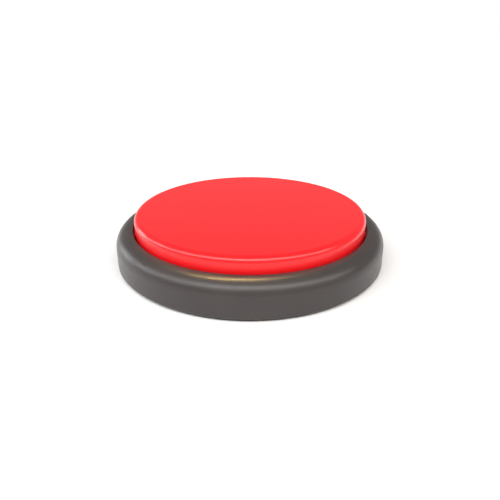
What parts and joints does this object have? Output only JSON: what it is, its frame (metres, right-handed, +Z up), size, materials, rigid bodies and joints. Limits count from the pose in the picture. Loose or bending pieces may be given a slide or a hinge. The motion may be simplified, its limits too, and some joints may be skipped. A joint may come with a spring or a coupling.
{
  "type": "quiz buzzer",
  "caption": "Flat round push buzzer with a wide button in a rounded base ring, a sounder, a battery bay and rubber feet.",
  "frame": {"origin": "centre of the base, on the surface that the rubber feet stand on", "axes": "+Z up along the button's press line; -Y towards the sounder; +Y towards the battery door"},
  "size_m": [0.12, 0.12, 0.0221],
  "materials": {
    "dark_grey_plastic": "fine satin texture",
    "red_plastic": "semi-gloss",
    "black_rubber": "matte",
    "door_plastic": "fine satin texture",
    "screw_steel": "zinc plated",
    "spring_steel": "bright drawn wire",
    "nickel": "nickel plated",
    "green_board": "solder mask",
    "black_epoxy": "matte",
    "cell_sleeve": "printed film",
    "switch_plastic": "satin",
    "white_plastic": "satin",
    "capacitor_sleeve": "shrink sleeve",
    "foam": "open foam",
    "sounder_steel": "pressed sheet",
    "magnet_steel": "zinc plated",
    "cone_film": "thin film",
    "terminal_board": "phenolic sheet",
    "red_wire": "insulated wire",
    "black_wire": "insulated wire"
  },
  "bodies": {
    "base": {"upper_housing": "dark_grey_plastic", "bottom_cover": "dark_grey_plastic", "switch_body": "switch_plastic", "switch_spring": "spring_steel", "switch_terminals": "nickel", "circuit_board": "green_board", "sound_chip": "black_epoxy", "chip_legs": "nickel", "capacitor": "capacitor_sleeve", "resistors": "black_epoxy", "front_cell": "cell_sleeve", "rear_cell": "cell_sleeve", "positive_contact": "nickel", "negative_contact": "nickel", "bridge_contact": "nickel", "sounder_gasket": "foam", "sounder_frame": "sounder_steel", "sounder_magnet": "magnet_steel", "sounder_cone": "cone_film", "terminal_strip": "terminal_board", "sounder_wire_red": "red_wire", "sounder_wire_black": "black_wire", "battery_wire_red": "red_wire", "battery_wire_black": "black_wire", "housing_screws": "screw_steel", "board_screws": "screw_steel", "sounder_screws": "screw_steel", "return_spring_rear_right": "spring_steel", "return_spring_rear_left": "spring_steel", "return_spring_front_left": "spring_steel", "return_spring_front_right": "spring_steel", "foot_right": "black_rubber", "foot_rear": "black_rubber", "foot_left": "black_rubber", "foot_front": "black_rubber"},
    "button": {"button_cap": "red_plastic"},
    "plunger": {"switch_plunger": "white_plastic"},
    "door": {"battery_door": "door_plastic"}
  },
  "joints": [
    {"name": "button_press", "type": "slide", "parent": "base", "child": "button", "axis": [0, 0, -1], "range_m": [0, 0.0025], "stiffness_N_per_m": 1000, "springref_m": -0.004, "deforming": ["return_spring_rear_right", "return_spring_rear_left", "return_spring_front_left", "return_spring_front_right"]},
    {"name": "plunger_press", "type": "slide", "parent": "base", "child": "plunger", "axis": [0, 0, -1], "range_m": [0, 0.0025], "stiffness_N_per_m": 100, "springref_m": -0.002, "deforming": ["switch_spring"]},
    {"name": "door_hinge", "type": "hinge", "parent": "base", "child": "door", "pos_m": [0, 0.013, 0.0027], "axis": [-1, 0, 0], "range_deg": [0, 90]}
  ],
  "couplings": [
    {"joint": "plunger_press", "follows": "button_press", "ratio": 1}
  ]
}
